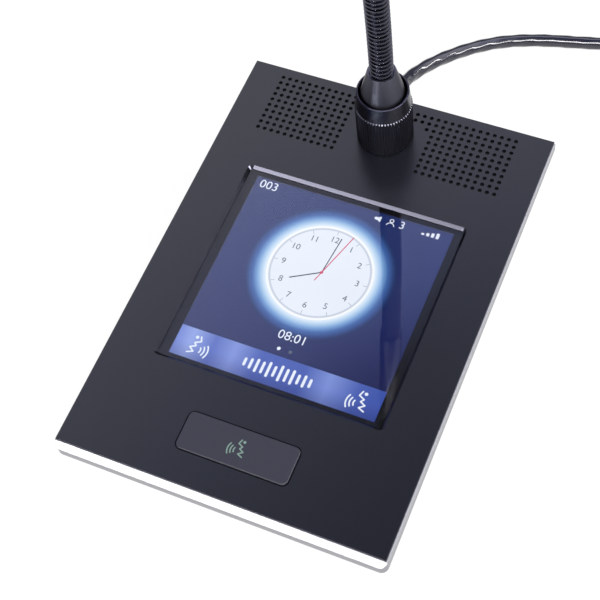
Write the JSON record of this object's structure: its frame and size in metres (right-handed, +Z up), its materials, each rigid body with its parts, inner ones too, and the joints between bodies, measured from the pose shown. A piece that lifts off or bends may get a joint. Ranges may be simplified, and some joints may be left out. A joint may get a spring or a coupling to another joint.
{
  "type": "conference delegate unit",
  "caption": "Desk conference unit with a sloping deck, square display, talk button, twin speaker grilles, gooseneck microphone and network lead.",
  "frame": {"origin": "on the table, under the middle of the unit's box without its lead", "axes": "+X to the user's right, +Y to the rear, +Z up"},
  "size_m": [0.2667, 0.3649, 0.4188],
  "materials": {
    "anodised_plate": "satin black anodised",
    "silver_casting": "fine bead-blasted silver",
    "pressed_cover": "powder coated",
    "black_moulding": "moulded",
    "foot_rubber": "moulded",
    "zinc_steel": "zinc plated",
    "display_glass": "polished",
    "gasket_foam": "foam",
    "display_panel": "lit",
    "backing_steel": "rolled",
    "ribbon_film": "film",
    "circuit_board": "solder mask",
    "board_component": "moulded",
    "standoff_brass": "turned",
    "button_cap": "fine spark texture",
    "clear_acrylic": "clear",
    "switch_body": "moulded",
    "switch_plunger": "moulded",
    "speaker_cloth": "woven",
    "speaker_paper": "pressed paper",
    "magnet_ferrite": "sintered",
    "socket_metal": "black plated",
    "plug_moulding": "moulded",
    "black_anodised_turning": "black anodised",
    "gooseneck_steel": "gloss black",
    "light_ring_acrylic": "frosted",
    "head_mesh": "drilled sheet",
    "capsule_metal": "drawn",
    "socket_plastic": "moulded",
    "plug_boot": "moulded",
    "cable_jacket": "gloss jacket",
    "strap_fabric": "hook and loop"
  },
  "bodies": {
    "root": {"top_plate": "anodised_plate", "body_frame": "silver_casting", "stand_shell": "silver_casting", "bottom_cover": "pressed_cover", "rear_panel": "black_moulding", "speaker_basket_left": "black_moulding", "speaker_basket_right": "black_moulding", "front_foot": "foot_rubber", "rear_feet": "foot_rubber", "plate_nuts": "zinc_steel", "case_screws": "zinc_steel", "board_screws": "zinc_steel", "cover_glass": "display_glass", "glass_gasket": "gasket_foam", "lcd_module": "display_panel", "display_bracket": "backing_steel", "display_flex": "ribbon_film", "main_board": "circuit_board", "button_board": "circuit_board", "connector_board": "circuit_board", "board_parts": "board_component", "board_standoffs": "standoff_brass", "button_switches": "switch_body", "grille_cloth": "speaker_cloth", "speaker_cone_left": "speaker_paper", "speaker_cone_right": "speaker_paper", "speaker_magnet_left": "magnet_ferrite", "speaker_magnet_right": "magnet_ferrite", "mic_socket": "socket_metal", "socket_nut": "socket_metal", "mic_plug": "plug_moulding", "cone_sleeve": "black_anodised_turning", "neck_1": "gooseneck_steel", "network_sockets": "socket_plastic", "cable_plug": "plug_boot", "far_plug": "plug_boot", "cable_run": "cable_jacket", "cable_coil": "cable_jacket", "cable_tail": "cable_jacket", "cable_tie": "strap_fabric"},
    "talk_button": {"talk_button": "button_cap", "button_light_pipe": "clear_acrylic", "switch_stems": "switch_plunger"},
    "lock_collar": {"lock_collar": "black_anodised_turning"},
    "neck_2": {"neck_2": "gooseneck_steel"},
    "neck_3": {"neck_3": "gooseneck_steel"},
    "neck_4": {"neck_4": "gooseneck_steel"},
    "neck_5": {"neck_5": "gooseneck_steel"},
    "neck_6": {"neck_6": "gooseneck_steel"},
    "neck_7": {"neck_7": "gooseneck_steel"},
    "stem": {"neck_8": "gooseneck_steel", "stem_tube": "black_anodised_turning", "neck_9": "gooseneck_steel"},
    "neck_10": {"neck_10": "gooseneck_steel"},
    "neck_11": {"neck_11": "gooseneck_steel"},
    "head": {"neck_12": "gooseneck_steel", "head_body": "black_anodised_turning", "light_ring": "light_ring_acrylic", "head_grille": "head_mesh", "mic_capsule": "capsule_metal"}
  },
  "joints": [
    {"name": "button_press", "type": "slide", "parent": "root", "child": "talk_button", "axis": [0, 0.2368, -0.9715], "range_m": [0, 0.0008], "stiffness_N_per_m": 2500},
    {"name": "collar_turn", "type": "hinge", "parent": "root", "child": "lock_collar", "pos_m": [0, 0.078, 0.05339], "axis": [0, -0.2368, 0.9715], "range_deg": [0, 270]},
    {"name": "neck_bend_1", "type": "hinge", "parent": "root", "child": "neck_2", "pos_m": [0, 0.06559, 0.1043], "axis": [1, 0, 0], "range_deg": [-8, 8]},
    {"name": "neck_bend_2", "type": "hinge", "parent": "neck_2", "child": "neck_3", "pos_m": [0, 0.06128, 0.12054], "axis": [1, 0, 0], "range_deg": [-8, 8]},
    {"name": "neck_bend_3", "type": "hinge", "parent": "neck_3", "child": "neck_4", "pos_m": [0, 0.05666, 0.13669], "axis": [1, 0, 0], "range_deg": [-8, 8]},
    {"name": "neck_bend_4", "type": "hinge", "parent": "neck_4", "child": "neck_5", "pos_m": [0, 0.05171, 0.15274], "axis": [1, 0, 0], "range_deg": [-8, 8]},
    {"name": "neck_bend_5", "type": "hinge", "parent": "neck_5", "child": "neck_6", "pos_m": [0, 0.04644, 0.1687], "axis": [1, 0, 0], "range_deg": [-8, 8]},
    {"name": "neck_bend_6", "type": "hinge", "parent": "neck_6", "child": "neck_7", "pos_m": [0, 0.04086, 0.18454], "axis": [1, 0, 0], "range_deg": [-8, 8]},
    {"name": "neck_bend_7", "type": "hinge", "parent": "neck_7", "child": "stem", "pos_m": [0, 0.03496, 0.20027], "axis": [1, 0, 0], "range_deg": [-8, 8]},
    {"name": "head_bend_1", "type": "hinge", "parent": "stem", "child": "neck_10", "pos_m": [0, -0.01977, 0.33778], "axis": [1, 0, 0], "range_deg": [-8, 8]},
    {"name": "head_bend_2", "type": "hinge", "parent": "neck_10", "child": "neck_11", "pos_m": [0, -0.0242, 0.34893], "axis": [1, 0, 0], "range_deg": [-8, 8]},
    {"name": "head_bend_3", "type": "hinge", "parent": "neck_11", "child": "head", "pos_m": [0, -0.02864, 0.36008], "axis": [1, 0, 0], "range_deg": [-8, 8]}
  ],
  "couplings": [
    {"joint": "neck_bend_2", "follows": "neck_bend_1", "ratio": 1},
    {"joint": "neck_bend_3", "follows": "neck_bend_1", "ratio": 1},
    {"joint": "neck_bend_4", "follows": "neck_bend_1", "ratio": 1},
    {"joint": "neck_bend_5", "follows": "neck_bend_1", "ratio": 1},
    {"joint": "neck_bend_6", "follows": "neck_bend_1", "ratio": 1},
    {"joint": "neck_bend_7", "follows": "neck_bend_1", "ratio": 1},
    {"joint": "head_bend_2", "follows": "head_bend_1", "ratio": 1},
    {"joint": "head_bend_3", "follows": "head_bend_1", "ratio": 1}
  ]
}
